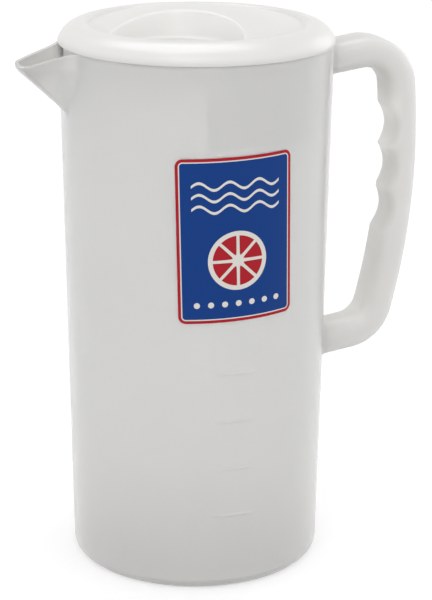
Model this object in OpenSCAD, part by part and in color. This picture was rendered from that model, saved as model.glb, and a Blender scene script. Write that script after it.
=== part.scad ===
// Household pitcher of translucent plastic: a tapered jug with a pouring spout and a finger-grip
// handle, a plug-in lid with a pinch grip and a pouring skirt, and a label stuck on the wall.
// Millimetres. The jug stands on z = 0 about its own axis. The spout points along -X, the handle
// along +X and the label along -Y.

/* [Jug] */
// Outer radius of the jug at its rim
rim_r = 60; // [54:0.5:70]
// Taper of the wall: how much smaller its radius is at the table than at the rim
wall_taper = 3.75; // [0:0.25:10]
// Height of the rim above the table
rim_h = 236; // [200:1:270]
// Thickness of the jug's wall
wall = 1.8; // [1.2:0.1:2.8]
// Thickness of the jug's floor
floor_t = 2.2; // [1.5:0.1:4]
// Radius of the rounded edge round the base
base_edge_r = 5; // [4:0.5:9]
// Height of the hollow under the floor
foot_rise = 1.2; // [0.5:0.1:3]
// Width of the flat ring that the jug stands on
foot_w = 6; // [3:0.5:12]

/* [Spout] */
// Distance from the rim out to the spout's tip
spout_out = 20.2; // [14:0.2:28]
// Radius of the spout's rounded tip and keel
spout_tip_r = 5.5; // [4:0.25:8]
// Angle of each side of the spout from its middle line, seen from above
spout_angle = 28; // [20:1:38]
// Slope of the spout's keel
spout_keel_angle = 42; // [35:1:52]
// Drop of the lip from the rim to the tip
spout_drop = 7.4; // [0:0.2:12]
// Distance from the rim in to where the lip starts to drop
spout_lip_in = 2; // [0:0.5:6]

/* [Measuring marks] */
// Number of raised measuring marks
mark_count = 4; // [1:1:4]
// Height of the lowest mark above the table
mark_first_h = 35.7; // [20:0.1:50]
// Distance from one mark up to the next
mark_pitch = 22.1; // [16:0.1:24]
// Length of a mark round the wall
mark_len = 16; // [8:0.5:24]
// Width of a mark up the wall
mark_w = 1.4; // [0.6:0.1:2]
// Height of a mark off the wall
mark_rise = 0.25; // [0.15:0.05:0.8]

/* [Handle] */
// Distance from the rim out to the furthest point of the handle
handle_out = 42.4; // [36:0.2:52]
// Distance from the rim down to the top of the handle
handle_drop = 1.3; // [0:0.1:8]
// Height of the handle from its upper to its lower bend, over the outside
handle_h = 145; // [120:1:165]
// Width of the handle
handle_w = 20; // [16:0.5:26]
// Thickness of the handle from its back to its finger side
handle_t = 14; // [11:0.5:17]
// Share of that thickness that lies behind the handle's widest line
handle_back_t = 6; // [4:0.5:8]
// Outer radius of the handle's two bends
handle_bend_r = 23; // [19:0.5:28]
// Radius of the grip's bowed back
handle_bow_r = 310; // [220:5:600]
// Distance from the top of the handle down to the furthest point of the bow
handle_bow_drop = 50; // [35:1:75]
// Fall of the handle's two arms towards the jug, in degrees
arm_fall = 8.5; // [0:0.5:14]
// Squareness of the handle's back: 2 is an ellipse and more is squarer
back_square = 3.6; // [2:0.1:6]
// Squareness of the handle's finger side
finger_square = 2.3; // [2:0.1:4]

/* [Finger hollows] */
// Number of finger hollows
grip_count = 3; // [1:1:4]
// Distance from one hollow to the next
grip_pitch = 20.3; // [16:0.1:22]
// Depth of a hollow
grip_depth = 3.3; // [0:0.1:5]
// Distance from the upper bend down to the first hollow
grip_start = 10; // [2:0.5:16]

/* [Lid] */
// Overhang of the lid's edge beyond the rim
lid_over = 0.4; // [0:0.1:2]
// Height of the lid's straight edge
lid_edge_h = 1.2; // [0.6:0.1:3]
// Radius of the lid's rounded shoulder
lid_shoulder_r = 11; // [9:0.5:12]
// Height of the raised ring above the rim
lid_ring_h = 8.6; // [6:0.2:9]
// Width of the raised ring from the lid's edge in to the dome
lid_ring_w = 14; // [13.5:0.5:18]
// Height of the dome above the rim
lid_dome_h = 15.2; // [13:0.2:18]
// Rise of the dome from its edge to its middle
lid_dome_rise = 8; // [5:0.5:9]
// Thickness of the lid's top
lid_t = 1.8; // [1.2:0.1:2.4]
// Clearance between the lid's edge and the rim that it sits on
seat_gap = 0.1; // [0.05:0.05:0.3]
// Turn of the lid in the mouth from the line of the spout
lid_turn = -31; // [-180:1:180]

/* [Pinch grip] */
// Thickness of the pinch grip at its waist
pinch_waist = 20; // [14:0.5:26]
// Radius of the finger well on each side of the pinch grip
well_r = 32.5; // [26:0.5:38]
// Height of a well's floor above the rim
well_floor_h = 3.4; // [2:0.2:5]
// Slope of a well's wall from upright, in degrees
well_slope = 20; // [2:1:25]

/* [Skirt] */
// Depth of the skirt below the rim
skirt_depth = 35.2; // [26:0.2:45]
// Thickness of the skirt
skirt_t = 1.6; // [1:0.1:2.2]
// Clearance between the skirt and the inside of the jug
skirt_gap = 0.35; // [0.2:0.05:0.8]
// Depth of plain skirt left above the pouring gap and the strainer
skirt_band = 7; // [4:0.5:14]
// Turn of the pouring gap's middle from the line of the pinch grip
pour_turn = -103; // [-180:1:180]
// Width of the pouring gap round the skirt
pour_w = 60; // [25:1:75]
// Number of strainer slots
slot_count = 7; // [1:1:9]
// Width of a strainer slot
slot_w = 2.2; // [1:0.1:3]
// Distance from one strainer slot to the next
slot_pitch = 5; // [4:0.2:8]

/* [Label] */
// Width of the label round the wall
label_w = 52; // [35:1:70]
// Height of the label
label_h = 72; // [40:1:80]
// Height of the label's middle above the table
label_mid_h = 162; // [150:1:175]
// Radius of the label's corners
label_corner_r = 3.2; // [1:0.2:6]
// Turn of the label from upright, in degrees
label_tilt = 1.6; // [-5:0.1:5]
// Thickness of the label
label_t = 0.2; // [0.1:0.05:0.4]
// Thickness of the adhesive that holds the label off the wall
glue_t = 0.1; // [0.05:0.05:0.2]

/* [Hidden] */
$fn = 128;
hull_fn = 32;
slack = 1;

plastic = [0.90, 0.90, 0.89];
lid_white = [0.95, 0.95, 0.94];
label_blue = [0.11, 0.25, 0.55];

// The wall leans out by this angle, and its outside at height z, less an inset, has this radius
lean = atan(wall_taper / rim_h);
function side_r(z, inset = 0) = rim_r - wall_taper * (1 - z / rim_h) - inset / cos(lean);

floor_z = foot_rise + floor_t;
foot_out_r = side_r(base_edge_r, base_edge_r);

spout_tip = [-(rim_r + spout_out - spout_tip_r), 0, rim_h - spout_drop];
spout_back = spout_out + rim_r / 3;
lip_start_x = -(rim_r - spout_lip_in);
lip_end_x = -(rim_r + spout_out);

handle_far = rim_r + handle_out;
handle_top = rim_h - handle_drop;
handle_bottom = handle_top - handle_h;
arm_end_x = side_r(0, 2 * wall);
bow_center = [handle_far - handle_bow_r, handle_top - handle_bow_drop];
top_bend = bend_center(handle_top - handle_bend_r);
low_bend = bend_center(handle_bottom + handle_bend_r);
top_join = angle_from(bow_center, top_bend);
low_join = angle_from(bow_center, low_bend);
bow_len = arc_len(top_join - low_join, handle_bow_r);
bend_steps = 10;
hollow_steps = 10;
rest_steps = 6;
section_sides = 28;

lid_r = rim_r + lid_over;
ring_r = lid_r - sqrt(pow(lid_shoulder_r, 2) - pow(lid_edge_h + lid_shoulder_r - lid_ring_h, 2));
dome_r = lid_r - lid_ring_w;
ring_in_r = ring_r - dome_r;
ring_curve_h = lid_ring_h - ring_in_r;
// A finger well's outer wall leaves the raised ring at this angle round the ring's inner curve
ring_meet = 45;
well_edge_r = ring_r - ring_in_r * cos(ring_meet);
well_edge_h = ring_curve_h + ring_in_r * sin(ring_meet);
dome_curve_r = (pow(dome_r, 2) + pow(lid_dome_rise, 2)) / (2 * lid_dome_rise);
skirt_low = rim_h - skirt_depth;
gap_top = rim_h - skirt_band;
skirt_top_in_r = skirt_r(rim_h) - skirt_t;
// The hollow under the lid stops this far short of the skirt's inside
hollow_step = 0.4;
hollow_r = skirt_top_in_r - hollow_step;
function skirt_r(z) = side_r(z, wall) - skirt_gap;

function arc_deg(len, r) = len / r * 180 / PI;
function arc_len(deg, r) = deg * r * PI / 180;
function angle_from(a, b) = atan2(b[1] - a[1], b[0] - a[0]);
function ring_point(center, r, a) = center + r * [cos(a), sin(a)];

// Middle of a bend at height z whose arc runs smoothly into the bowed back
function bend_center(z) =
    [bow_center[0] + sqrt(pow(handle_bow_r - handle_bend_r, 2) - pow(z - bow_center[1], 2)), z];

// A station on the handle's back: its place [x, z], the angle that it faces and the hollow's depth there
function arc_stations(center, r, from, to, steps) =
    [for (i = [1 : steps]) let (a = from + (to - from) * i / steps) [ring_point(center, r, a), a, 0]];

// Where an arm's straight back, which touches the bend at angle a, reaches the jug
function arm_station(center, a) =
    let (p = ring_point(center, handle_bend_r, a))
    [p - (p[0] - arm_end_x) * [1, tan(arm_fall)], a, 0];

// Stations down the bowed back, at s from the upper bend, closer together along the finger hollows
hollows_len = grip_count * grip_pitch;
hollow_count = grip_count * hollow_steps;
bow_s = concat(
    [for (i = [0 : hollow_count]) grip_start + hollows_len * i / hollow_count],
    [for (i = [1 : rest_steps]) let (from = grip_start + hollows_len)
        from + max(bow_len - from, slack) * i / rest_steps]);
function hollow_depth(s) =
    let (u = (s - grip_start) / grip_pitch)
    (u < 0 || u > grip_count) ? 0 : grip_depth * abs(sin(180 * u));
function bow_station(s) =
    let (a = top_join - arc_deg(s, handle_bow_r))
    [ring_point(bow_center, handle_bow_r, a), a, hollow_depth(s)];

top_angle = 90 + arm_fall;
low_angle = -90 + arm_fall;
low_from = top_join - arc_deg(bow_s[len(bow_s) - 1], handle_bow_r);
stations = concat(
    [arm_station(top_bend, top_angle)],
    [[ring_point(top_bend, handle_bend_r, top_angle), top_angle, 0]],
    arc_stations(top_bend, handle_bend_r, top_angle, top_join, bend_steps),
    [for (s = bow_s) bow_station(s)],
    arc_stations(low_bend, handle_bend_r, low_from, low_angle, bend_steps),
    [arm_station(low_bend, low_angle)]);

// Section of the handle: a squarish back and a rounder finger side, either side of the widest line
function swell(v, square) = sign(v) * pow(abs(v), 2 / square);
function section_point(t, hollow) =
    let (square = sin(t) >= 0 ? back_square : finger_square)
    let (depth = sin(t) >= 0 ? handle_back_t : handle_t - handle_back_t - hollow)
    [handle_w / 2 * swell(cos(t), square), depth * swell(sin(t), square)];
function station_ring(st) =
    let (out = [cos(st[1]), sin(st[1])])
    let (mid = st[0] - handle_back_t * out)
    [for (i = [0 : section_sides - 1])
        let (q = section_point(360 * i / section_sides, st[2]))
        [mid[0] + q[1] * out[0], q[0], mid[1] + q[1] * out[1]]];

// Solid whose skin runs through a row of rings with the same number of points
module loft(rings) {
    n = len(rings[0]);
    last = len(rings) - 1;
    skin = [for (i = [0 : last - 1], j = [0 : n - 1])
        let (k = (j + 1) % n, a = i * n, b = (i + 1) * n)
        each [[a + j, b + j, b + k], [a + j, b + k, a + k]]];
    ends = [[for (j = [0 : n - 1]) j], [for (j = [n - 1 : -1 : 0]) last * n + j]];
    polyhedron(points = [for (r = rings) each r], faces = concat(skin, ends), convexity = 6);
}

// Half outline of a tapered vessel with a rounded lower edge
module vessel_outline(inset, bottom, top, edge_r) {
    center = [side_r(bottom + edge_r, inset + edge_r), bottom + edge_r];
    touch = center + edge_r * [cos(lean), -sin(lean)];
    polygon([[0, bottom], [center[0], bottom], touch, [side_r(top, inset), top], [0, top]]);
    translate(center) circle(edge_r);
}

// Space of the spout: a rounded tip and keel spread back to the wall, smaller by the inset
module spout_form(inset) {
    r = spout_tip_r - inset;
    side = spout_back * [1, tan(spout_angle), 0];
    keel = spout_back * [1, 0, -tan(spout_keel_angle)];
    hull() {
        for (p = [spout_tip, spout_tip + side, spout_tip + [side[0], -side[1], 0]])
            translate(p) cylinder(r = r, h = spout_drop + slack, $fn = hull_fn);
        for (p = [spout_tip, spout_tip + keel])
            translate(p) sphere(r, $fn = hull_fn);
    }
}

// Everything above the rim and above the falling lip of the spout
module above_lip() {
    fall = spout_drop / (lip_start_x - lip_end_x);
    far_x = lip_end_x - rim_r;
    high = rim_h + rim_r;
    rotate([90, 0, 0])
        linear_extrude(height = 2 * rim_r, center = true)
            polygon([[0, rim_h], [lip_start_x, rim_h],
                [far_x, rim_h - fall * (lip_start_x - far_x)], [far_x, high], [0, high]]);
}

module measuring_mark(h) {
    turn = arc_deg(mark_len, side_r(h));
    rotate([0, 0, -90 - turn / 2])
        rotate_extrude(angle = turn)
            translate([side_r(h) - wall / 2, h - mark_w / 2]) square([wall / 2 + mark_rise, mark_w]);
}

module jug_body() {
    color(plastic) {
        difference() {
            union() {
                rotate_extrude() vessel_outline(0, 0, rim_h, base_edge_r);
                difference() {
                    spout_form(0);
                    above_lip();
                }
            }
            rotate_extrude() vessel_outline(wall, floor_z, rim_h + slack, base_edge_r - wall);
            spout_form(wall);
            translate([0, 0, -slack]) cylinder(r = foot_out_r - foot_w, h = foot_rise + slack);
        }
        for (i = [0 : mark_count - 1]) measuring_mark(mark_first_h + i * mark_pitch);
    }
}

module handle() {
    color(plastic)
        difference() {
            loft([for (st = stations) station_ring(st)]);
            cylinder(r1 = side_r(0), r2 = rim_r, h = rim_h);
        }
}

// Half outline of the lid above the rim: edge, rounded shoulder, raised ring and low dome
module lid_outline() {
    translate([0, rim_h]) square([lid_r, lid_edge_h]);
    translate([0, rim_h]) square([ring_r + ring_in_r, ring_curve_h]);
    intersection() {
        translate([ring_r, rim_h + lid_ring_h - lid_shoulder_r]) circle(lid_shoulder_r);
        translate([ring_r, rim_h]) square([lid_r - ring_r, lid_ring_h]);
    }
    translate([ring_r, rim_h + ring_curve_h]) circle(ring_in_r);
    intersection() {
        translate([0, rim_h + lid_dome_h - dome_curve_r]) circle(dome_curve_r);
        translate([0, rim_h]) square([ring_r - ring_in_r / 2, lid_dome_h]);
    }
}

// The two finger wells that leave the pinch grip between them, larger by the given skin. Their outer
// wall leaves the raised ring part of the way up the ring's inner curve
module finger_wells(skin) {
    depth = lid_dome_h - well_floor_h;
    flare = depth * tan(well_slope);
    low_edge_r = well_edge_r - (well_edge_h - well_floor_h) * tan(well_slope);
    translate([0, 0, rim_h + well_floor_h - skin])
        intersection() {
            cylinder(r1 = low_edge_r + skin, r2 = low_edge_r + flare + skin, h = depth + skin);
            for (s = [-1, 1])
                translate([0, s * (pinch_waist / 2 + well_r), 0])
                    cylinder(r1 = well_r - flare + skin, r2 = well_r + skin, h = depth + skin);
        }
}

// Skirt that plugs into the mouth, with a pouring gap on one side and a strainer on the other
module skirt() {
    gap_turn = arc_deg(pour_w, skirt_r(gap_top));
    slot_turn = arc_deg(slot_pitch, skirt_r(gap_top));
    rotate([0, 0, pour_turn]) difference() {
        rotate_extrude()
            polygon([[skirt_r(skirt_low) - skirt_t, skirt_low], [skirt_r(skirt_low), skirt_low],
                [skirt_r(rim_h), rim_h], [skirt_r(rim_h), rim_h + lid_edge_h],
                [skirt_top_in_r, rim_h + lid_edge_h], [skirt_top_in_r, rim_h]]);
        rotate([0, 0, -gap_turn / 2])
            rotate_extrude(angle = gap_turn)
                translate([rim_r / 2, skirt_low - slack]) square([rim_r, gap_top - skirt_low + slack]);
        for (i = [0 : slot_count - 1])
            rotate([0, 0, 180 + slot_turn * (i - (slot_count - 1) / 2)])
                translate([rim_r / 2, -slot_w / 2, skirt_low - slack])
                    cube([rim_r, slot_w, gap_top - skirt_low + slack]);
    }
}

module lid() {
    color(lid_white)
        translate([0, 0, seat_gap]) rotate([0, 0, lid_turn]) {
            difference() {
                rotate_extrude() lid_outline();
                finger_wells(0);
                difference() {
                    intersection() {
                        translate([0, 0, -lid_t]) rotate_extrude() lid_outline();
                        translate([0, 0, rim_h - lid_t]) cylinder(r = hollow_r, h = 2 * lid_dome_h);
                    }
                    finger_wells(lid_t);
                }
            }
            skirt();
        }
}

// Label bent round the wall: a thin band of the wall's own cone inside a rounded upright outline
module label() {
    low = label_mid_h - label_h;
    high = label_mid_h + label_h;
    mid_r = side_r(label_mid_h);
    half_w = mid_r * sin(arc_deg(label_w / 2, mid_r));
    corner = [half_w - label_corner_r, label_h / 2 - label_corner_r];
    color(label_blue)
        intersection() {
            rotate_extrude()
                translate([glue_t, 0])
                    polygon([[side_r(low), low], [side_r(low) + label_t, low],
                        [side_r(high) + label_t, high], [side_r(high), high]]);
            translate([0, 0, label_mid_h])
                rotate([90, 0, 0])
                    linear_extrude(height = 2 * rim_r)
                        rotate(label_tilt) {
                            square([2 * half_w, 2 * corner[1]], center = true);
                            square([2 * corner[0], label_h], center = true);
                            for (x = [-1, 1], y = [-1, 1])
                                translate([x * corner[0], y * corner[1]]) circle(label_corner_r);
                        }
        }
}

jug_body();
handle();
lid();
label();
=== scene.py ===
"""Household pitcher of translucent polypropylene, dressed over its CAD frame.

The jug with its measuring marks, the handle, the lid and the label are modelled in millimetres about the
jug's axis, with the table at z = 0, the spout along -X, the handle along +X and the label along -Y.
Each piece is brought to metres when it is finished.
"""
import math

import bpy
from mathutils import Matrix, Vector


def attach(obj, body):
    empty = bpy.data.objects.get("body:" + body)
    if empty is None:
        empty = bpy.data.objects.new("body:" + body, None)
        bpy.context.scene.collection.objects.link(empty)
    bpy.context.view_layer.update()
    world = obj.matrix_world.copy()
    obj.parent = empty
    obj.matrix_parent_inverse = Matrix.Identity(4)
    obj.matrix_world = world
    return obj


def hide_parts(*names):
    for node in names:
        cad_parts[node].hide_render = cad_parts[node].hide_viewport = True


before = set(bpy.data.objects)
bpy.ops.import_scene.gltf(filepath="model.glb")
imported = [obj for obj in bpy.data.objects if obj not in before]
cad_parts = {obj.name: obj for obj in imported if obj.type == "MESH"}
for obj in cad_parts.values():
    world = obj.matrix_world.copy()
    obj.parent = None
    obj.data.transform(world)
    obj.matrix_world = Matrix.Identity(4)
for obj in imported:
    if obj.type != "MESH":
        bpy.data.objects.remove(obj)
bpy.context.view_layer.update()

# Jug: outer radius and height of the rim, the wall's taper, and the thicknesses
RIM_R, RIM_H, WALL_TAPER, WALL = 60.0, 236.0, 3.75, 1.8
FLOOR_T, FOOT_RISE, FOOT_W, BASE_EDGE_R = 2.2, 1.2, 6.0, 5.0
# Spout: reach beyond the rim, radius under the lip, plan angle, keel slope, widest turn that it takes up
SPOUT_OUT, SPOUT_TIP_R, SPOUT_ANGLE, SPOUT_KEEL = 20.2, 3.5, math.radians(12), math.radians(43)
SPOUT_SPAN = math.radians(60)
# Its lip: drop, start of the drop inside the rim, width, bow per square millimetre, rounding of the corners
SPOUT_DROP, SPOUT_LIP_IN, SPOUT_LIP_W, SPOUT_LIP_BOW, SPOUT_CORNER = 6.8, 2.0, 19.0, 0.02, 6.0
# Its sides: the share and the height by which they draw together, and how they and the keel run into the wall
SPOUT_NARROWING, SPOUT_NARROW_H, KEEL_BLEND, SIDE_BLEND, SIDE_TURN = 0.4, 14.0, 3.0, 9.0, 0.2
# Handle: reach, drop below the rim, height, width, thickness and the part of it behind the belt, long corners
HANDLE_OUT, HANDLE_DROP, HANDLE_H, HANDLE_W = 42.4, 1.3, 145.0, 20.0
HANDLE_T, HANDLE_BACK_T, BACK_CORNER_R, FINGER_CORNER_R = 14.0, 6.0, 3.8, 6.8
HANDLE_BEND_R, HANDLE_BOW_R, HANDLE_BOW_DROP, ARM_FALL = 23.0, 310.0, 50.0, math.radians(8.5)
GRIP_COUNT, GRIP_PITCH, GRIP_DEPTH, GRIP_START, ROOT_FILLET_R = 3, 20.3, 3.3, 10.0, 3.5
# Lid: edge, rounded shoulder, raised ring, dome, and the pinch grip between two finger wells
LID_OVER, LID_EDGE_H, LID_SHOULDER_R, LID_RING_H, LID_RING_W = 0.4, 1.2, 11.0, 8.6, 14.0
LID_DOME_H, LID_DOME_RISE, LID_T, SEAT_GAP = 15.2, 8.0, 1.8, 0.1
LID_TURN = math.radians(-31)
PINCH_WAIST, WELL_R, WELL_FLOOR_H, WELL_SLOPE = 20.0, 32.5, 3.4, math.radians(20)
# Its skirt: depth, thickness, gap to the wall, whole band at its top, softened edge, run into the cap
SKIRT_DEPTH, SKIRT_T, SKIRT_GAP, SKIRT_BAND, SKIRT_EDGE, SKIRT_SINK = 35.2, 1.6, 0.15, 7.0, 0.4, 0.6
# The pouring gap on one side of the skirt and the comb of slots on the other
POUR_TURN, POUR_W, SLOT_COUNT, SLOT_W, SLOT_PITCH = math.radians(-103), 60.0, 7, 2.2, 5.0
# Label, and the measuring marks, which run out softly at their ends
LABEL_W, LABEL_H, LABEL_MID_H, LABEL_CORNER_R = 52.0, 72.0, 162.0, 3.2
LABEL_TILT, LABEL_T, GLUE_T = math.radians(1.6), 0.2, 0.12
MARK_COUNT, MARK_FIRST_H, MARK_PITCH, MARK_LEN, MARK_W, MARK_RISE = 4, 35.7, 22.1, 16.0, 1.9, 0.55
MARK_END = 1.4

LEAN = math.atan(WALL_TAPER / RIM_H)


def side_r(z, inset=0.0):
    """Radius of the jug's wall at height z, the given inset inside its outer face."""
    return RIM_R - WALL_TAPER * (1 - z / RIM_H) - inset / math.cos(LEAN)


def soft_max(a, b, blend):
    """The larger of two values, with a rounded change from one to the other."""
    return max(a, b) + max(blend - abs(a - b), 0.0) ** 2 / (4 * blend)


def soft_min(a, b, blend):
    return -soft_max(-a, -b, blend)


def arc(center, r, start, end, steps):
    """Points on an arc, angles in degrees, both ends included."""
    turns = [math.radians(start + (end - start) * i / steps) for i in range(steps + 1)]
    return [(center[0] + r * math.cos(a), center[1] + r * math.sin(a)) for a in turns]


def spread(start, end, steps):
    """Evenly spaced values from start to end, both ends included."""
    return [start + (end - start) * i / steps for i in range(steps + 1)]


# Modelling by operators

def pick(piece, wanted):
    """Selects the points of a piece in edit mode whose place passes the test."""
    bpy.ops.object.mode_set(mode="OBJECT")
    for polygon in piece.data.polygons:
        polygon.select = False
    for edge in piece.data.edges:
        edge.select = False
    for point in piece.data.vertices:
        point.select = wanted(point.co)
    bpy.ops.object.mode_set(mode="EDIT")
    bpy.ops.mesh.select_mode(type="VERT")


def pick_edges(piece, wanted):
    """Selects the edges of a piece in edit mode whose two ends pass the test."""
    bpy.ops.object.mode_set(mode="OBJECT")
    points = piece.data.vertices
    for point in points:
        point.select = False
    for polygon in piece.data.polygons:
        polygon.select = False
    for edge in piece.data.edges:
        edge.select = wanted(points[edge.vertices[0]].co, points[edge.vertices[1]].co)
    bpy.ops.object.mode_set(mode="EDIT")
    bpy.ops.mesh.select_mode(type="EDGE")


def turned(name, outline, sides):
    """A round piece: a ring of points carried along its outline of (radius, height) by extruding."""
    bpy.ops.object.select_all(action="DESELECT")
    bpy.ops.mesh.primitive_circle_add(vertices=sides, radius=outline[0][0], location=(0, 0, outline[0][1]))
    piece = bpy.context.object
    piece.name = piece.data.name = name
    bpy.ops.object.transform_apply(location=True, rotation=True, scale=True)
    bpy.ops.object.mode_set(mode="EDIT")
    bpy.ops.mesh.select_all(action="SELECT")
    for (r0, z0), (r1, z1) in zip(outline, outline[1:]):
        bpy.ops.mesh.extrude_region_move(TRANSFORM_OT_translate={"value": (0, 0, z1 - z0)})
        if r1 != r0:
            bpy.ops.transform.resize(value=(r1 / r0, r1 / r0, 1), center_override=(0, 0, z1))
    return piece


def close_pole(piece, r, z):
    """Draws the ring of points of that radius and height together into one point on the axis."""
    pick(piece, lambda p: abs(math.hypot(p.x, p.y) - r) < r / 4 and abs(p.z - z) < 0.05)
    bpy.ops.mesh.merge(type="CENTER")


def point_outwards(piece, join_within=0.001):
    """Joins points that lie together and turns all faces outwards."""
    bpy.ops.object.mode_set(mode="EDIT")
    bpy.ops.mesh.select_all(action="SELECT")
    bpy.ops.mesh.remove_doubles(threshold=join_within)
    bpy.ops.mesh.normals_make_consistent(inside=False)
    bpy.ops.object.mode_set(mode="OBJECT")


def cut_away(piece, cutter):
    """Takes the cutter's form out of the piece."""
    bpy.ops.object.select_all(action="DESELECT")
    bpy.context.view_layer.objects.active = piece
    piece.select_set(True)
    cut = piece.modifiers.new("cut", "BOOLEAN")
    cut.operation, cut.solver, cut.object = "DIFFERENCE", "EXACT", cutter
    bpy.ops.object.modifier_apply(modifier=cut.name)
    bpy.data.objects.remove(cutter)


def finish_piece(piece, body, material, smooth_to=35):
    """Brings a piece from millimetres to metres, smooths it, dresses it and puts it on its body."""
    if bpy.context.object and bpy.context.object.mode != "OBJECT":
        bpy.ops.object.mode_set(mode="OBJECT")
    bpy.ops.object.select_all(action="DESELECT")
    bpy.context.view_layer.objects.active = piece
    piece.select_set(True)
    piece.scale = (0.001, 0.001, 0.001)
    bpy.ops.object.transform_apply(location=True, rotation=True, scale=True)
    bpy.ops.object.shade_smooth_by_angle(angle=math.radians(smooth_to))
    piece.data.materials.clear()
    piece.data.materials.append(material)
    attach(piece, body)
    return piece


# Materials

def linear(hex_colour, alpha=1.0):
    """A linear colour from an sRGB hex value such as D8D7D4."""
    parts = [int(hex_colour[i:i + 2], 16) / 255 for i in (0, 2, 4)]
    return [c / 12.92 if c <= 0.04045 else ((c + 0.055) / 1.055) ** 2.4 for c in parts] + [alpha]


def add(tree, kind, links=None, values=None, **settings):
    """Adds a node with its settings, the values of its sockets and the links into them."""
    n = tree.nodes.new(kind)
    for key, value in settings.items():
        setattr(n, key, value)
    for key, value in (values or {}).items():
        n.inputs[key].default_value = value
    for key, socket in (links or {}).items():
        tree.links.new(socket, n.inputs[key])
    return n


def new_material(name):
    material = bpy.data.materials.new(name)
    material.use_nodes = True
    material.node_tree.nodes.clear()
    return material, material.node_tree


# Polypropylene: refractive index, size of its cloudy flow marks, and how far they change the roughness
PLASTIC_IOR, FLOW_MARK_MM, SHEEN_SWING = 1.49, 40, 0.06


def moulded_polypropylene(name, light, dark, clearness, scatter, depth_mm, roughness, gloss, painted_shades):
    """Polypropylene from a satin mould: milky, so that light spreads inside the wall and an edge close behind
    it shows through, with faint cloudy flow marks in its tone and its sheen. Each shade is painted light or
    shade: it makes the colour greyer or paler, up to a share, inside bounds. A bound rises along a way, from
    nothing at its first place to all at its second. So the colour is greyer where the plastic should get less
    light, and paler where it should get more."""
    material, tree = new_material(name)
    place = add(tree, "ShaderNodeTexCoord")
    flow = add(tree, "ShaderNodeTexNoise", {"Vector": place.outputs["Object"]},
               {"Scale": 1000 / FLOW_MARK_MM, "Detail": 2.0, "Roughness": 0.5})
    colour = add(tree, "ShaderNodeMix", {"Factor": flow.outputs["Fac"]}, data_type="RGBA")
    colour.inputs[6].default_value = linear(dark)
    colour.inputs[7].default_value = linear(light)
    tone = colour.outputs[2]
    for share, *bounds in painted_shades:
        part = None
        for way, start_mm, end_mm in bounds:
            along = add(tree, "ShaderNodeVectorMath", {0: place.outputs["Object"]}, {1: way},
                        operation="DOT_PRODUCT")
            step = add(tree, "ShaderNodeMapRange", {"Value": along.outputs["Value"]},
                       {"From Min": start_mm / 1000, "From Max": end_mm / 1000},
                       interpolation_type="SMOOTHSTEP")
            if part:
                step = add(tree, "ShaderNodeMath", {0: part.outputs[0], 1: step.outputs[0]},
                           operation="MULTIPLY")
            part = step
        change = add(tree, "ShaderNodeMath", {0: part.outputs[0]}, {1: share - 1, 2: 1},
                     operation="MULTIPLY_ADD")
        shaded = add(tree, "ShaderNodeVectorMath", {0: tone, "Scale": change.outputs[0]}, operation="SCALE")
        tone = shaded.outputs[0]
    sheen = add(tree, "ShaderNodeMapRange", {"Value": flow.outputs["Fac"]},
                {"To Min": roughness - SHEEN_SWING, "To Max": roughness + SHEEN_SWING})
    surface = add(tree, "ShaderNodeBsdfPrincipled",
                  {"Base Color": tone, "Roughness": sheen.outputs["Result"]},
                  {"IOR": PLASTIC_IOR, "Transmission Weight": clearness, "Subsurface Weight": scatter,
                   "Subsurface Radius": (1.0, 1.0, 1.0), "Subsurface Scale": depth_mm / 1000,
                   "Coat Weight": gloss, "Coat Roughness": 0.2, "Coat IOR": PLASTIC_IOR})
    add(tree, "ShaderNodeOutputMaterial", {"Surface": surface.outputs["BSDF"]})
    return material


# Print on the film: widths of the red border and of the white line inside it
BORDER_W, BORDER_LINE_W = 1.3, 0.5
# waves: number, height of the middle one, pitch, line width, swing up and down, its length, width of the row
WAVE_COUNT, WAVE_H, WAVE_PITCH, WAVE_LINE_W = 3, 19.0, 5.0, 1.2
WAVE_SWING, WAVE_LEN, WAVES_W = 1.6, 13.0, 39.0
# citrus slice: drop below the label's middle, radius, width of the peel, number of segments, width of a rib
SLICE_DROP, SLICE_R, PEEL_W, SEGMENT_COUNT, RIB_W = 9.0, 13.0, 2.0, 8, 1.3
# dots: number, drop below the label's middle, pitch and radius
DOT_COUNT, DOT_DROP, DOT_PITCH, DOT_R = 7, 28.0, 6.0, 1.3


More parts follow.
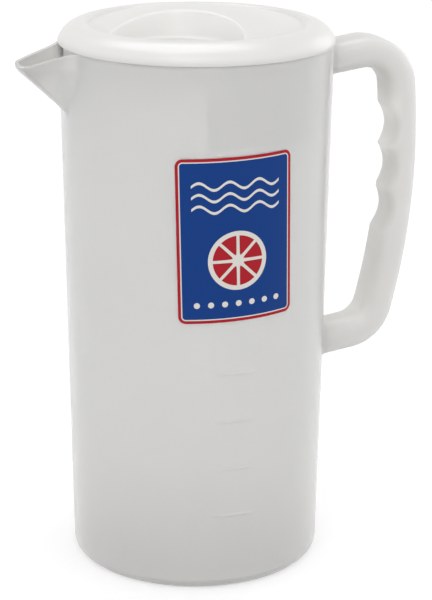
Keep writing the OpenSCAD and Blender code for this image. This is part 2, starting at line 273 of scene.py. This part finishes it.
def printed_film():
    """Printed polypropylene film with a dull sheen: solid inks with crisp edges. A red border and a white
    line run round a blue field with white waves, a citrus slice and a row of dots."""
    material, tree = new_material("printed_film")
    place = add(tree, "ShaderNodeUVMap", uv_map="UVMap")
    spot = add(tree, "ShaderNodeSeparateXYZ", {"Vector": place.outputs["UV"]})
    across, up = spot.outputs["X"], spot.outputs["Y"]

    # border: how far a place lies out in the rounded rim of the label
    half = add(tree, "ShaderNodeVectorMath", {0: place.outputs["UV"]}, operation="ABSOLUTE")
    past = add(tree, "ShaderNodeVectorMath", {0: half.outputs[0]},
               {1: (LABEL_W / 2 - LABEL_CORNER_R, LABEL_H / 2 - LABEL_CORNER_R, 0)}, operation="SUBTRACT")
    rim = add(tree, "ShaderNodeVectorMath", {0: past.outputs[0]}, {1: (0, 0, 0)}, operation="MAXIMUM")
    out = add(tree, "ShaderNodeVectorMath", {0: rim.outputs[0]}, operation="LENGTH").outputs["Value"]
    border_r = LABEL_CORNER_R - BORDER_W
    line = add(tree, "ShaderNodeMath", {0: out}, {1: border_r - BORDER_LINE_W}, operation="GREATER_THAN")
    border = add(tree, "ShaderNodeMath", {0: out}, {1: border_r}, operation="GREATER_THAN")

    # waves: lines one above the other that swing up and down
    half_h = WAVE_COUNT * WAVE_PITCH / 2
    line_from = (WAVE_PITCH - WAVE_LINE_W) / 2
    turn = add(tree, "ShaderNodeMath", {0: across}, {1: 2 * math.pi / WAVE_LEN}, operation="MULTIPLY")
    swing = add(tree, "ShaderNodeMath", {0: turn.outputs[0]}, operation="SINE")
    level = add(tree, "ShaderNodeMath", {0: swing.outputs[0], 2: up}, {1: WAVE_SWING},
                operation="MULTIPLY_ADD")
    fold = add(tree, "ShaderNodeMath", {0: level.outputs[0]}, {1: WAVE_H - half_h}, operation="SUBTRACT")
    crest = add(tree, "ShaderNodeMath", {0: fold.outputs[0]}, {1: WAVE_PITCH / 2}, operation="PINGPONG")
    thin = add(tree, "ShaderNodeMath", {0: crest.outputs[0]}, {1: line_from}, operation="GREATER_THAN")
    high = add(tree, "ShaderNodeMath", {0: level.outputs[0]}, {1: WAVE_H, 2: half_h}, operation="COMPARE")
    wide = add(tree, "ShaderNodeMath", {0: across}, {1: 0, 2: WAVES_W / 2}, operation="COMPARE")
    waves = add(tree, "ShaderNodeMath", {0: thin.outputs[0], 1: high.outputs[0]}, operation="MULTIPLY")
    waves = add(tree, "ShaderNodeMath", {0: waves.outputs[0], 1: wide.outputs[0]}, operation="MULTIPLY")

    # citrus slice: a white disc with red segments between white ribs
    centre = add(tree, "ShaderNodeVectorMath", {0: place.outputs["UV"]}, {1: (0, SLICE_DROP, 0)},
                 operation="ADD")
    reach = add(tree, "ShaderNodeVectorMath", {0: centre.outputs[0]}, operation="LENGTH").outputs["Value"]
    disc = add(tree, "ShaderNodeMath", {0: reach}, {1: SLICE_R}, operation="LESS_THAN")
    flesh = add(tree, "ShaderNodeMath", {0: reach}, {1: SLICE_R - PEEL_W}, operation="LESS_THAN")
    leg = add(tree, "ShaderNodeSeparateXYZ", {"Vector": centre.outputs[0]})
    angle = add(tree, "ShaderNodeMath", {0: leg.outputs["Y"], 1: leg.outputs["X"]}, operation="ARCTAN2")
    beats = SEGMENT_COUNT / 2
    around = add(tree, "ShaderNodeMath", {0: angle.outputs[0]}, {1: beats}, operation="MULTIPLY")
    beat = add(tree, "ShaderNodeMath", {0: around.outputs[0]}, operation="SINE")
    apart = add(tree, "ShaderNodeMath", {0: beat.outputs[0]}, operation="ABSOLUTE")
    apart = add(tree, "ShaderNodeMath", {0: apart.outputs[0], 1: reach}, operation="MULTIPLY")
    cell = add(tree, "ShaderNodeMath", {0: apart.outputs[0]}, {1: beats * RIB_W / 2},
               operation="GREATER_THAN")
    segments = add(tree, "ShaderNodeMath", {0: flesh.outputs[0], 1: cell.outputs[0]}, operation="MULTIPLY")

    # dots: a row, level across the label
    beside = add(tree, "ShaderNodeMath", {0: across}, {1: DOT_PITCH / 2}, operation="PINGPONG")
    below = add(tree, "ShaderNodeMath", {0: up}, {1: DOT_DROP}, operation="ADD")
    pair = add(tree, "ShaderNodeCombineXYZ", {"X": beside.outputs[0], "Y": below.outputs[0]})
    near = add(tree, "ShaderNodeVectorMath", {0: pair.outputs[0]}, operation="LENGTH")
    round_dot = add(tree, "ShaderNodeMath", {0: near.outputs["Value"]}, {1: DOT_R}, operation="LESS_THAN")
    row_w = DOT_COUNT * DOT_PITCH
    inside = add(tree, "ShaderNodeMath", {0: across}, {1: 0, 2: row_w / 2}, operation="COMPARE")
    dots = add(tree, "ShaderNodeMath", {0: round_dot.outputs[0], 1: inside.outputs[0]}, operation="MULTIPLY")

    blue, white, red = linear("0A397F"), linear("DAD7D0"), linear("A81C28")
    prints = ((waves, white), (dots, white), (disc, white), (segments, red), (line, white), (border, red))
    ink = None
    for mask, paint in prints:
        layer = add(tree, "ShaderNodeMix", {"Factor": mask.outputs[0]}, data_type="RGBA")
        layer.inputs[6].default_value, layer.inputs[7].default_value = blue, paint
        if ink:
            tree.links.new(ink, layer.inputs[6])
        ink = layer.outputs[2]
    surface = add(tree, "ShaderNodeBsdfPrincipled", {"Base Color": ink},
                  {"Roughness": 0.4, "IOR": 1.5, "Specular IOR Level": 0.15})
    add(tree, "ShaderNodeOutputMaterial", {"Surface": surface.outputs["BSDF"]})
    return material


# ways along which the painted light and shade on the plastics change: up, to the spout, to the spout and up,
# to the handle's back
UP, TO_SPOUT, TO_SPOUT_UP, TO_BACK = (0, 0, 1), (-1, 0, 0), (-0.6, 0, 0.8), (0.99, 0, -0.136)

# the jug's thin wall: clear enough to show the lid's skirt behind it, with painted shade towards the base and
# in the spout
jug_plastic = moulded_polypropylene(
    "natural_polypropylene", "FDFCFA", "FAF9F7",
    clearness=0.48, scatter=0.8, depth_mm=3.0, roughness=0.32, gloss=0.7,
    painted_shades=[(0.87, (UP, 65, 0)), (0.70, (TO_SPOUT_UP, 211, 231), (TO_SPOUT, 55, 66))])
# the handle's thick bar: not clear, with painted light on the finger side, in place of the light that comes
# through the plastic
solid_plastic = moulded_polypropylene(
    "thick_polypropylene", "D9D8D6", "D5D4D2",
    clearness=0.0, scatter=1.0, depth_mm=14.0, roughness=0.38, gloss=0.0,
    painted_shades=[(1.2, (TO_BACK, 67, 61), (UP, 212, 197), (UP, 98, 108))])
# the lid: whiter and glossier, with painted shade at its lower edge and down its skirt
lid_plastic = moulded_polypropylene(
    "lid_polypropylene", "E7E6E4", "E3E2E0",
    clearness=0.0, scatter=0.3, depth_mm=1.5, roughness=0.30, gloss=0.0,
    painted_shades=[(0.88, (UP, 239.5, 236.2)), (0.88, (UP, 235, 231))])
label_film = printed_film()


# Jug

# the height from which the spout is shaped, and how much the points of the wall crowd towards it
SHAPED_FROM, CROWDING = 196.0, 0.6
MARK_SOFT = MARK_W / 2
SPOUT_Z = RIM_H - SPOUT_DROP
SPOUT_X = RIM_R + SPOUT_OUT - SPOUT_TIP_R
# the lip's fall for each millimetre out, and how softly it starts
LIP_FALL, LIP_BLEND = SPOUT_DROP / (SPOUT_OUT + SPOUT_LIP_IN), 1.5
# the small ring that a pole is closed from, and one further out that keeps the base's faces even
POLE_R, MIDWAY_R = 0.2, 20.0


def spout_r(turn, z, inset):
    """Distance from the axis to the spout's face at height z, turned from the spout's middle line: a blunt
    lip with the keel below it, between two sides that come closer together downwards."""
    below = max(SPOUT_Z - z, 0.0)

    def keel(r):
        if below < r * math.cos(SPOUT_KEEL):
            return SPOUT_X + math.sqrt(r * r - below * below)
        return SPOUT_X - below / math.tan(SPOUT_KEEL) + r / math.sin(SPOUT_KEEL)

    a = abs(turn)
    front = keel(SPOUT_TIP_R - inset)
    front = front / math.cos(a) - SPOUT_LIP_BOW * (front * math.tan(a)) ** 2
    half = SPOUT_LIP_W / 2 * (1 - SPOUT_NARROWING * min(below / SPOUT_NARROW_H, 1.0))
    reach = half * math.cos(SPOUT_ANGLE) + keel(SPOUT_TIP_R) * math.sin(SPOUT_ANGLE) - inset
    return soft_min(front, reach / math.sin(a + SPOUT_ANGLE), SPOUT_CORNER)


def jug_r(turn, z, inset):
    """Radius of the jug's face at height z. Wall and spout run softly together at the spout's sides, less so
    under its keel."""
    plain = side_r(z, inset)
    if abs(turn) > SPOUT_SPAN:
        return plain
    blend = KEEL_BLEND + (SIDE_BLEND - KEEL_BLEND) * min(abs(turn) / SIDE_TURN, 1.0) ** 2
    return soft_max(plain, spout_r(turn, z, inset), blend)


def mark_swell(turn, z):
    """Rise of the measuring marks over the wall at a place: soft bars one above the other."""
    rise = 0.0
    for i in range(MARK_COUNT):
        off = (z - MARK_FIRST_H - i * MARK_PITCH) / MARK_SOFT
        if abs(off) < 1:
            rise = MARK_RISE * (1 + math.cos(math.pi * off)) / 2
    side = side_r(z) * (turn + math.pi / 2)
    return rise * min(max((MARK_LEN + MARK_END) / 2 - abs(side), 0.0) / MARK_END, 1.0)


def shape_wall(jug):
    """Draws the points of the wall closer together at the spout, pulls the spout out of it and raises the
    measuring marks."""
    for point in jug.data.vertices:
        r = math.hypot(point.co.x, point.co.y)
        if r < 0.01:
            continue
        turn = math.atan2(point.co.y, -point.co.x)
        turn -= CROWDING * math.sin(turn)
        z = point.co.z
        if r > side_r(z) - 0.1:
            r += mark_swell(turn, z)
        if z > SHAPED_FROM:
            share = min(max((side_r(z) - r) * math.cos(LEAN) / WALL, 0.0), 1.0)
            top_r = jug_r(turn, SPOUT_Z, 0) * (1 - share) + jug_r(turn, SPOUT_Z, WALL) * share
            past = soft_max(top_r * math.cos(turn) - (RIM_R - SPOUT_LIP_IN), 0.0, LIP_BLEND)
            top = RIM_H - LIP_FALL * past
            z = SHAPED_FROM + (z - SHAPED_FROM) * (top - SHAPED_FROM) / (RIM_H - SHAPED_FROM)
            r = jug_r(turn, z, 0) * (1 - share) + jug_r(turn, z, WALL) * share
        point.co = (-r * math.cos(turn), r * math.sin(turn), z)


def make_jug():
    foot_r = side_r(BASE_EDGE_R, BASE_EDGE_R)
    floor_z = FOOT_RISE + FLOOR_T
    inner_edge = BASE_EDGE_R - WALL
    inner_r = side_r(floor_z + inner_edge, WALL + inner_edge)
    wall_rows = spread(20, 170, 5) + [190] + spread(SHAPED_FROM, RIM_H - 0.3, 32)
    mark_rows = [MARK_FIRST_H + i * MARK_PITCH + off for i in range(MARK_COUNT)
                 for off in spread(-MARK_SOFT, MARK_SOFT, 10)]
    # the hollow under the base, with a softened step down to the foot ring
    hollow_r = foot_r - FOOT_W
    outline = [(POLE_R, FOOT_RISE), (MIDWAY_R, FOOT_RISE), (hollow_r - 0.6, FOOT_RISE)]
    outline += [(hollow_r - 0.2, FOOT_RISE - 0.3), (hollow_r, 0.3), (hollow_r + 0.4, 0)]
    outline += arc((foot_r, BASE_EDGE_R), BASE_EDGE_R, -90, -math.degrees(LEAN), 8)
    outline += [(side_r(z), z) for z in sorted(wall_rows + mark_rows)]
    rim_edge = ((0.1, 0.05), (0.25, 0), (0.9, 0), (1.55, 0.12))
    outline += [(side_r(RIM_H, inset), RIM_H - drop) for inset, drop in rim_edge]
    outline += [(side_r(z, WALL), z) for z in reversed(wall_rows)]
    outline += arc((inner_r, floor_z + inner_edge), inner_edge, -math.degrees(LEAN), -90, 6)
    outline += [(MIDWAY_R, floor_z), (POLE_R, floor_z)]
    jug = turned("jug", outline, 256)
    close_pole(jug, POLE_R, FOOT_RISE)
    close_pole(jug, POLE_R, floor_z)
    bpy.ops.object.mode_set(mode="OBJECT")
    shape_wall(jug)
    point_outwards(jug)
    finish_piece(jug, "jug", jug_plastic)
    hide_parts("jug_body")


# Handle

BELT_R = HANDLE_BEND_R - HANDLE_BACK_T
# how far the handle's two ends run into the wall
ROOT_SINK = 0.4


def handle_stations():
    """Rows down the handle: the belt's place (x, z), the angle it faces, the hollow's depth there, and for
    the two straight arms the way to the jug with the row's distance from the wall, as a share of the arm."""
    top, far = RIM_H - HANDLE_DROP, RIM_R + HANDLE_OUT
    bow = (far - HANDLE_BOW_R, top - HANDLE_BOW_DROP)

    def bend(z):
        return (bow[0] + math.sqrt((HANDLE_BOW_R - HANDLE_BEND_R) ** 2 - (z - bow[1]) ** 2), z)

    def at(center, r, a):
        return (center[0] + r * math.cos(a), center[1] + r * math.sin(a))

    upper, lower = bend(top - HANDLE_BEND_R), bend(top - HANDLE_H + HANDLE_BEND_R)
    join_up = math.atan2(upper[1] - bow[1], upper[0] - bow[0])
    join_low = math.atan2(lower[1] - bow[1], lower[0] - bow[0])
    face_up, face_low = math.pi / 2 + ARM_FALL, -math.pi / 2 + ARM_FALL
    # rows of an arm, closer together at its root
    arm_shares = [0, 0.02, 0.06, 0.11, 0.17, 0.24, 0.33, 0.45, 0.6, 0.8]
    rows = [(at(upper, BELT_R, face_up), face_up, 0.0, s) for s in arm_shares]
    rows += [(at(upper, BELT_R, a), a, 0.0, None) for a in spread(face_up, join_up, 16)[:-1]]
    length = (join_up - join_low) * HANDLE_BOW_R
    hollows = GRIP_COUNT * GRIP_PITCH
    steps = spread(0, GRIP_START, 6)[:-1] + spread(GRIP_START, GRIP_START + hollows, 54)
    steps += spread(GRIP_START + hollows, length, 14)[1:]
    for s in steps:
        u = (s - GRIP_START) / GRIP_PITCH
        depth = GRIP_DEPTH * abs(math.sin(math.pi * u)) if 0 < u < GRIP_COUNT else 0.0
        a = join_up - s / HANDLE_BOW_R
        rows.append((at(bow, HANDLE_BOW_R - HANDLE_BACK_T, a), a, depth, None))
    rows += [(at(lower, BELT_R, a), a, 0.0, None) for a in spread(join_low, face_low, 16)[1:]]
    rows += [(at(lower, BELT_R, face_low), face_low, 0.0, s) for s in reversed(arm_shares)]
    return rows


def way_to_wall(place, facing, side, out):
    """Length of an arm's line, at that side and height off the belt, from its bend to the jug's wall."""
    x, z = place[0] + out * math.cos(facing), place[1] + out * math.sin(facing)
    run = 0.0
    for _ in range(6):
        wall_x = math.sqrt(side_r(z - run * math.sin(ARM_FALL)) ** 2 - side ** 2)
        run = (x - wall_x) / math.cos(ARM_FALL)
    return run


def make_handle():
    rows = handle_stations()
    last = len(rows) - 1
    bpy.ops.object.select_all(action="DESELECT")
    bpy.ops.mesh.primitive_cube_add(size=1, location=(last / 2, 0, HANDLE_BACK_T - HANDLE_T / 2),
                                    scale=(last, HANDLE_W, HANDLE_T))
    handle = bpy.context.object
    handle.name = handle.data.name = "handle_grip"
    bpy.ops.object.transform_apply(location=True, rotation=True, scale=True)
    finger_t = HANDLE_T - HANDLE_BACK_T
    # long corners: tighter behind, rounder on the finger side
    pick_edges(handle, lambda a, b: abs(a.x - b.x) > 1 and a.z > 0)
    bpy.ops.mesh.bevel(offset=BACK_CORNER_R, segments=6, profile=0.5, affect="EDGES")
    pick_edges(handle, lambda a, b: abs(a.x - b.x) > 1 and a.z < 0.1 - finger_t)
    bpy.ops.mesh.bevel(offset=FINGER_CORNER_R, segments=9, profile=0.5, affect="EDGES")
    # rows along the bar, one unit apart, to be carried onto the stations
    pick_edges(handle, lambda a, b: abs(a.x - b.x) > 1)
    bpy.ops.mesh.subdivide(number_cuts=last - 1)
    bpy.ops.object.mode_set(mode="OBJECT")
    for point in handle.data.vertices:
        place, facing, hollow, share = rows[round(point.co.x)]
        side, out = point.co.y, point.co.z
        if out < 0:
            out *= (finger_t - hollow) / finger_t
        run = 0.0
        if share is not None:
            run = way_to_wall(place, facing, side, out)
            gone = share * run
            if gone < ROOT_FILLET_R:
                grow = ROOT_FILLET_R - math.sqrt(ROOT_FILLET_R ** 2 - (ROOT_FILLET_R - gone) ** 2)
                reach = math.hypot(side, out)
                side, out = side * (1 + grow / reach), out * (1 + grow / reach)
            run = way_to_wall(place, facing, side, out) - gone + (ROOT_SINK if share == 0 else 0.0)
        x = place[0] + out * math.cos(facing) - run * math.cos(ARM_FALL)
        z = place[1] + out * math.sin(facing) - run * math.sin(ARM_FALL)
        point.co = (x, side, z)
    point_outwards(handle)
    finish_piece(handle, "jug", solid_plastic, 50)
    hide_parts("handle")


# Lid

LID_Z = RIM_H + SEAT_GAP
LID_R = RIM_R + LID_OVER
RING_R = LID_R - math.sqrt(LID_SHOULDER_R ** 2 - (LID_EDGE_H + LID_SHOULDER_R - LID_RING_H) ** 2)
DOME_R = LID_R - LID_RING_W
RING_IN_R = RING_R - DOME_R
DOME_CURVE_R = (DOME_R ** 2 + LID_DOME_RISE ** 2) / (2 * LID_DOME_RISE)
# softness of the corners: dome to ring, between a well's walls, at its floor, at its edge above and below
GROOVE_SOFT, WELL_WALLS_SOFT, WELL_FLOOR_SOFT, WELL_TOP_SOFT, WELL_UNDER_SOFT = 1.0, 3.0, 6.0, 1.8, 2.0
# steepness of a well's wall along the raised ring, softening of the lid's edge, length of the skirt's cutters
RING_WALL_STEEP, LID_EDGE_SOFT, CUT_THROUGH = 4.0, 0.12, 30.0


def skirt_r(z):
    return side_r(z, WALL) - SKIRT_GAP


def lid_height(r):
    """Height above the rim of the lid's plain top: dome, raised ring and rounded shoulder."""
    dome = LID_DOME_H - DOME_CURVE_R + math.sqrt(DOME_CURVE_R ** 2 - r ** 2)
    if r < DOME_R - 2:
        return dome
    if r < RING_R:
        ring = LID_RING_H - RING_IN_R + math.sqrt(max(RING_IN_R ** 2 - (RING_R - r) ** 2, 0.0))
        return soft_max(dome, ring, GROOVE_SOFT)
    return LID_RING_H - LID_SHOULDER_R + math.sqrt(max(LID_SHOULDER_R ** 2 - (r - RING_R) ** 2, 0.0))


def well_height(x, y, skin):
    """Height above the rim of the nearer finger well's floor and walls, a skin larger all round."""
    from_middle = math.hypot(x, abs(y) - PINCH_WAIST / 2 - WELL_R)
    low_r = WELL_R - (LID_DOME_H - WELL_FLOOR_H) * math.tan(WELL_SLOPE) + skin
    wall = (from_middle - low_r) / math.tan(WELL_SLOPE)
    ring_wall = (math.hypot(x, y) - DOME_R - skin) * RING_WALL_STEEP
    walls = soft_max(wall, ring_wall, WELL_WALLS_SOFT)
    return WELL_FLOOR_H - skin + soft_max(walls, 0.0, WELL_FLOOR_SOFT)


def top_height(x, y):
    return soft_min(lid_height(math.hypot(x, y)), well_height(x, y, 0.0), WELL_TOP_SOFT)


def under_height(x, y):
    return soft_min(lid_height(math.hypot(x, y)) - LID_T, well_height(x, y, LID_T), WELL_UNDER_SOFT)


def column_places(x, rows):
    """Places of the rows up one column of a disc at x, from its middle line to its edge, closer together
    where the column crosses a finger well's wall or the groove inside the raised ring."""
    edge = math.sqrt(max(RING_R ** 2 - x ** 2, 0.0))
    steps = 240
    filled = [0.0]
    for i in range(steps):
        y = edge * (i + 0.5) / steps
        to_wall = math.hypot(x, y - PINCH_WAIST / 2 - WELL_R) - WELL_R + 1.5
        to_ring = math.hypot(x, y) - DOME_R - 1.0
        crowding = 5 * math.exp(-(to_wall / 2.5) ** 2) + 4 * math.exp(-(to_ring / 2.0) ** 2)
        filled.append(filled[-1] + 1 + crowding)
    places, i = [], 0
    for row in range(rows + 1):
        wanted = filled[-1] * row / rows
        while i < steps - 1 and filled[i + 1] < wanted:
            i += 1
        places.append(edge * (i + (wanted - filled[i]) / (filled[i + 1] - filled[i])) / steps)
    return places


def pressed_disc(name, height, columns, rows):
    """The lid's middle inside the raised ring: a grid of columns across the pinch grip, drawn out into a
    disc and pressed to the given height."""
    bpy.ops.object.select_all(action="DESELECT")
    bpy.ops.mesh.primitive_grid_add(x_subdivisions=columns, y_subdivisions=2 * rows, size=2)
    disc = bpy.context.object
    disc.name = disc.data.name = name
    laid = {}
    for point in disc.data.vertices:
        column = round((point.co.x + 1) / 2 * columns)
        x = RING_R * math.sin(math.pi * (column / columns - 0.5))
        if column not in laid:
            laid[column] = column_places(x, rows)
        y = math.copysign(laid[column][round(abs(point.co.y) * rows)], point.co.y)
        point.co = (x, y, LID_Z + height(x, y))
    return disc


def make_skirt():
    """The lid's skirt, with the comb of slots on one side and the pouring gap on the other."""
    low = LID_Z - SKIRT_DEPTH
    rows = spread(low + SKIRT_EDGE, LID_Z + SKIRT_SINK, 8)
    outline = [(skirt_r(z), z) for z in rows]
    outline += [(skirt_r(z) - SKIRT_T, z) for z in reversed(rows)]
    outline += [(skirt_r(low) - SKIRT_T + SKIRT_EDGE, low), (skirt_r(low) - SKIRT_EDGE, low), outline[0]]
    skirt = turned("lid_skirt", outline, 240)
    point_outwards(skirt)
    gap_z = RIM_H - SKIRT_BAND
    cut_h = gap_z - low + 2
    slot_turn = SLOT_PITCH / skirt_r(gap_z)
    cuts = [(math.pi + slot_turn * (i - (SLOT_COUNT - 1) / 2), SLOT_W) for i in range(SLOT_COUNT)]
    cuts.append((0.0, 2 * RIM_R * math.sin(POUR_W / skirt_r(gap_z) / 2)))
    for turn, width in cuts:
        place = (RIM_R * math.cos(turn), RIM_R * math.sin(turn), gap_z - cut_h / 2)
        bpy.ops.object.select_all(action="DESELECT")
        bpy.ops.mesh.primitive_cube_add(size=1, location=place, rotation=(0, 0, turn),
                                        scale=(CUT_THROUGH, width, cut_h))
        cut_away(skirt, bpy.context.object)
    skirt.rotation_euler = (0, 0, POUR_TURN)
    bpy.ops.object.transform_apply(location=True, rotation=True, scale=True)
    return skirt


def make_lid():
    hollow_r = skirt_r(RIM_H) - SKIRT_T
    shoulder = [RING_R + LID_SHOULDER_R * math.sin(math.radians(a)) for a in spread(0, 70, 14)[1:]]
    shoulder = [RING_R] + [r for r in shoulder if r < LID_R - 0.3]
    outline = [(r, LID_Z + lid_height(r)) for r in shoulder]
    outline += [(LID_R - LID_EDGE_SOFT, LID_Z + LID_EDGE_H + 0.25), (LID_R, LID_Z + LID_EDGE_H - 0.1)]
    outline += [(LID_R, LID_Z + LID_EDGE_SOFT), (LID_R - LID_EDGE_SOFT, LID_Z)]
    outline += [(skirt_r(RIM_H) + 0.2, LID_Z), (hollow_r, LID_Z)]
    outline += [(r, LID_Z + lid_height(r) - LID_T) for r in reversed(spread(RING_R, hollow_r, 8))]
    lid = turned("lid_cap", outline, 400)
    bpy.ops.object.mode_set(mode="OBJECT")
    parts = [pressed_disc("lid_top", top_height, 200, 64), pressed_disc("lid_under", under_height, 200, 48)]
    skirt = make_skirt()
    bpy.ops.object.select_all(action="DESELECT")
    for part in [lid, skirt] + parts:
        part.select_set(True)
    bpy.context.view_layer.objects.active = lid
    bpy.ops.object.join()
    lid.rotation_euler = (0, 0, LID_TURN)
    bpy.ops.object.transform_apply(location=True, rotation=True, scale=True)
    point_outwards(lid, 0.004)
    finish_piece(lid, "lid", lid_plastic)
    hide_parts("lid")


# Label

def wrap_on_wall(piece):
    """Bends a flat piece, drawn in x and z with its face towards -y, round the front of the jug."""
    for point in piece.data.vertices:
        x, out, z = point.co.x, -point.co.y, point.co.z
        r = side_r(z)
        turn = x / r - math.pi / 2
        point.co = ((r + out) * math.cos(turn), (r + out) * math.sin(turn), z)


def make_label():
    bpy.ops.object.select_all(action="DESELECT")
    bpy.ops.mesh.primitive_plane_add(size=1, rotation=(math.pi / 2, 0, 0))
    label = bpy.context.object
    label.name = label.data.name = "label_film"
    label.scale = (LABEL_W, LABEL_H, 1)
    bpy.ops.object.transform_apply(location=True, rotation=True, scale=True)
    bpy.ops.object.mode_set(mode="EDIT")
    bpy.ops.mesh.select_all(action="SELECT")
    bpy.ops.mesh.bevel(offset=LABEL_CORNER_R, segments=8, affect="VERTICES")
    bpy.ops.object.mode_set(mode="OBJECT")
    drawn = label.data.uv_layers["UVMap"].data
    for corner in label.data.loops:
        p = label.data.vertices[corner.vertex_index].co
        drawn[corner.index].uv = (p.x, p.z)
    label.rotation_euler = (0, -LABEL_TILT, 0)
    label.location = (0, -GLUE_T, LABEL_MID_H)
    bpy.ops.object.transform_apply(location=True, rotation=True, scale=True)
    bpy.ops.object.mode_set(mode="EDIT")
    for x in spread(-LABEL_W / 2, LABEL_W / 2, 40):
        bpy.ops.mesh.select_all(action="SELECT")
        bpy.ops.mesh.bisect(plane_co=(x, 0, LABEL_MID_H), plane_no=(1, 0, 0))
    bpy.ops.mesh.select_all(action="SELECT")
    bpy.ops.object.mode_set(mode="OBJECT")
    wrap_on_wall(label)
    thick = label.modifiers.new("thickness", "SOLIDIFY")
    thick.thickness, thick.offset = LABEL_T, 1.0
    bpy.ops.object.modifier_apply(modifier=thick.name)
    finish_piece(label, "jug", label_film)
    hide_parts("label")


# Studio

# Camera matched to the photograph: turn from the label's side to the spout, look down, roll, place before the
# turn, and lens
CAMERA_TURN, CAMERA_DOWN, CAMERA_ROLL = math.radians(-18), math.radians(17.788), math.radians(0.384)
CAMERA_PLACE, LENS_MM, SENSOR_MM = (0.00921, -0.868343, 0.396038), 167.67, 36.0


def seen_directly(tree):
    """1 for what the camera sees, also in a gloss or through the plastic, and 0 for light on a surface."""
    ray = add(tree, "ShaderNodeLightPath").outputs
    view = add(tree, "ShaderNodeMath", {0: ray["Is Camera Ray"], 1: ray["Is Glossy Ray"]},
               operation="MAXIMUM")
    view = add(tree, "ShaderNodeMath", {0: view.outputs[0], 1: ray["Is Transmission Ray"]},
               operation="MAXIMUM")
    return view.outputs[0]


def make_floor():
    """A sheet of white paper that keeps the jug's shadow."""
    bpy.ops.object.select_all(action="DESELECT")
    bpy.ops.mesh.primitive_plane_add(size=12, location=(0, 0, 0))
    floor = bpy.context.object
    floor.name = "studio_floor"
    paper, tree = new_material("white_paper")
    flat = add(tree, "ShaderNodeBsdfDiffuse", None, {"Color": linear("D4D4D4")})
    lift = add(tree, "ShaderNodeEmission", None, {"Color": linear("FFFFFF"), "Strength": 0.45})
    both = add(tree, "ShaderNodeAddShader", {0: flat.outputs[0], 1: lift.outputs[0]})
    mix = add(tree, "ShaderNodeMixShader", {0: seen_directly(tree), 1: flat.outputs[0], 2: both.outputs[0]})
    add(tree, "ShaderNodeOutputMaterial", {"Surface": mix.outputs[0]})
    floor.data.materials.append(paper)


def make_surroundings():
    """White to the eye all round. Light comes from the sides more than from above, as between white walls."""
    world = bpy.data.worlds.new("studio")
    bpy.context.scene.world = world
    world.use_nodes = True
    tree = world.node_tree
    tree.nodes.clear()
    way = add(tree, "ShaderNodeTexCoord")
    height = add(tree, "ShaderNodeSeparateXYZ", {"Vector": way.outputs["Generated"]})
    fall = add(tree, "ShaderNodeMapRange", {"Value": height.outputs["Z"]}, {"To Min": 1.52, "To Max": 0.5})
    level = add(tree, "ShaderNodeMix", {"Factor": seen_directly(tree), "A": fall.outputs["Result"]},
                {"B": 1.0})
    sky = add(tree, "ShaderNodeBackground", {"Strength": level.outputs["Result"]},
              {"Color": linear("FFFFFF")})
    add(tree, "ShaderNodeOutputWorld", {"Surface": sky.outputs[0]})


def make_lamps():
    """Square lamps aimed at the jug. The top one stands for a bright ceiling: it shows as a sheen on the
    plastic and lights no surface."""
    for name, place, aim, size, power, lights in (
            ("front_light", (-0.5, -0.93, 1.26), (0, 0, 0.2), 0.7, 3.0, True),
            ("back_light", (1.03, 0.45, 0.5), (0, 0, 0.2), 0.6, 1.4, True),
            ("top_light", (-0.05, 0.25, 1.24), (0, 0, 0.24), 1.0, 10.0, False),
    ):
        lamp = bpy.data.lights.new(name, "AREA")
        lamp.shape, lamp.size, lamp.energy = "SQUARE", size, power
        light = bpy.data.objects.new(name, lamp)
        bpy.context.scene.collection.objects.link(light)
        light.location = place
        light.visible_diffuse = lights
        light.rotation_euler = (Vector(aim) - Vector(place)).to_track_quat("-Z", "Y").to_euler()


def make_camera():
    lens = bpy.data.cameras.new("camera")
    lens.sensor_fit, lens.sensor_width, lens.lens = "HORIZONTAL", SENSOR_MM, LENS_MM
    camera = bpy.data.objects.new("camera", lens)
    bpy.context.scene.collection.objects.link(camera)
    turn = Matrix.Rotation(CAMERA_TURN, 3, "Z")
    tip = Matrix.Rotation(math.pi / 2 - CAMERA_DOWN, 3, "X")
    roll = Matrix.Rotation(CAMERA_ROLL, 3, "Z")
    camera.rotation_euler = (turn @ tip @ roll).to_euler()
    camera.location = turn @ Vector(CAMERA_PLACE)
    bpy.context.scene.camera = camera


def make_studio():
    bpy.context.scene.view_settings.view_transform = "Standard"
    make_floor()
    make_surroundings()
    make_lamps()
    make_camera()


make_studio()
make_jug()
make_handle()
make_lid()
make_label()
